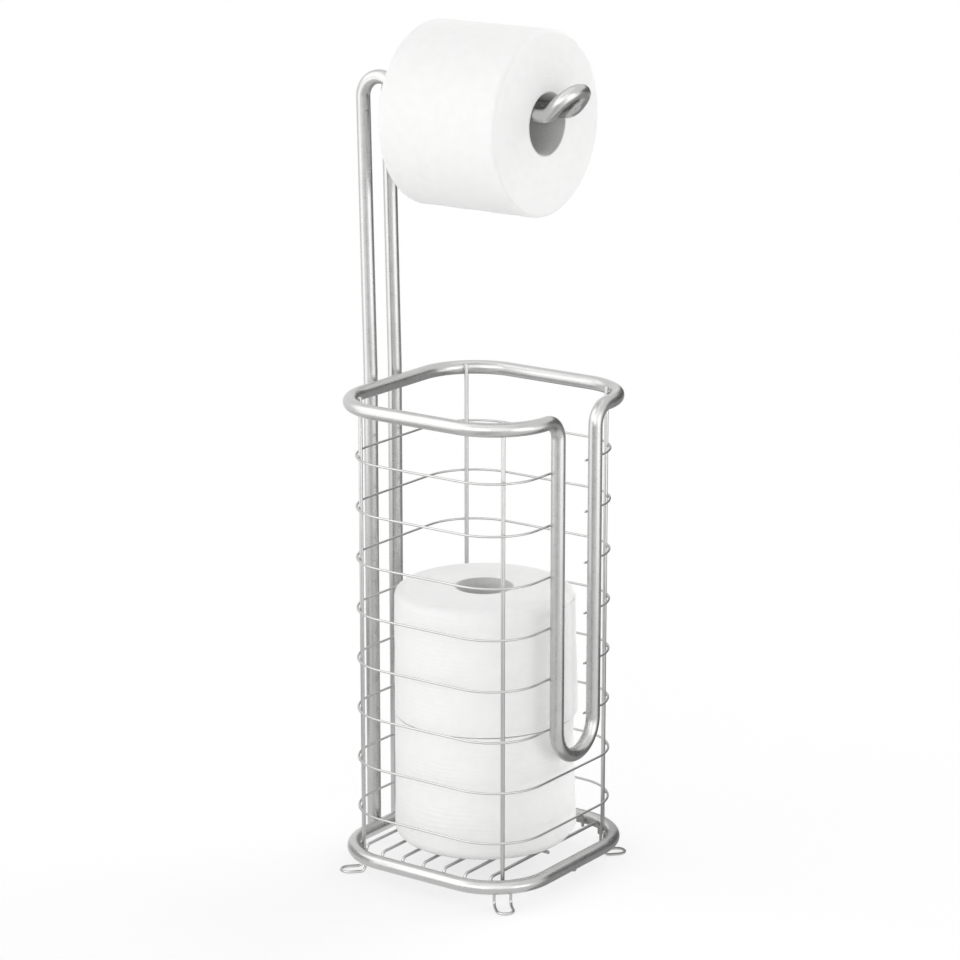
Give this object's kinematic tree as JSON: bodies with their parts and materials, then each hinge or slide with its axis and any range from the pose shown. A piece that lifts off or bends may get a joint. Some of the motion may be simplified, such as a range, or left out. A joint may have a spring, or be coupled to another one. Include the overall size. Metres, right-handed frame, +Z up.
{
  "type": "toilet paper holder",
  "caption": "Freestanding toilet paper holder: a square wire basket with a dispensing slot, and a hairpin stand with a hooked arm that carries a roll over it.",
  "frame": {"origin": "middle of the footprint, on the floor under the wire feet", "axes": "+Z up, -Y to the dispensing slot and the arm's hook, +Y to the hairpin stand, +X to the right as seen from the slot"},
  "size_m": [0.172, 0.182, 0.6086],
  "materials": {
    "satin_steel": "satin nickel plate on bent tube and welded wire",
    "tissue_paper": "soft matte tissue",
    "core_cardboard": "matte grey board"
  },
  "bodies": {
    "frame": {"rim_and_slot_tube": "satin_steel", "stand_hairpin_tube": "satin_steel", "base_ring_tube": "satin_steel", "base_ring_weld_nub": "satin_steel", "corner_wire_front_right": "satin_steel", "corner_wire_back_right": "satin_steel", "corner_wire_back_left": "satin_steel", "corner_wire_front_left": "satin_steel", "ring_wire_1": "satin_steel", "ring_wire_2": "satin_steel", "ring_wire_3": "satin_steel", "ring_wire_4": "satin_steel", "ring_wire_5": "satin_steel", "ring_wire_6": "satin_steel", "ring_wire_7": "satin_steel", "ring_wire_8": "satin_steel", "tray_wire_1": "satin_steel", "tray_wire_2": "satin_steel", "tray_wire_3": "satin_steel", "tray_wire_4": "satin_steel", "tray_wire_5": "satin_steel", "tray_wire_6": "satin_steel", "tray_wire_7": "satin_steel", "tray_tie_wire": "satin_steel", "foot_front_right": "satin_steel", "foot_back_right": "satin_steel", "foot_back_left": "satin_steel", "foot_front_left": "satin_steel"},
    "hanging_roll": {"hanging_roll_paper": "tissue_paper", "hanging_roll_core": "core_cardboard"},
    "lower_stored_roll": {"lower_stored_roll_paper": "tissue_paper", "lower_stored_roll_core": "core_cardboard"},
    "upper_stored_roll": {"upper_stored_roll_paper": "tissue_paper", "upper_stored_roll_core": "core_cardboard"}
  },
  "joints": [
    {"name": "hanging_roll_spin", "type": "hinge", "parent": "frame", "child": "hanging_roll", "pos_m": [0, -0.01137, 0.5444], "axis": [0, -1, 0], "continuous": true},
    {"name": "lower_stored_roll_lift", "type": "slide", "parent": "frame", "child": "lower_stored_roll", "axis": [0, 0, 1], "range_m": [0, 0.03]},
    {"name": "upper_stored_roll_lift", "type": "slide", "parent": "lower_stored_roll", "child": "upper_stored_roll", "axis": [0, 0, 1], "range_m": [0, 0.237]}
  ]
}
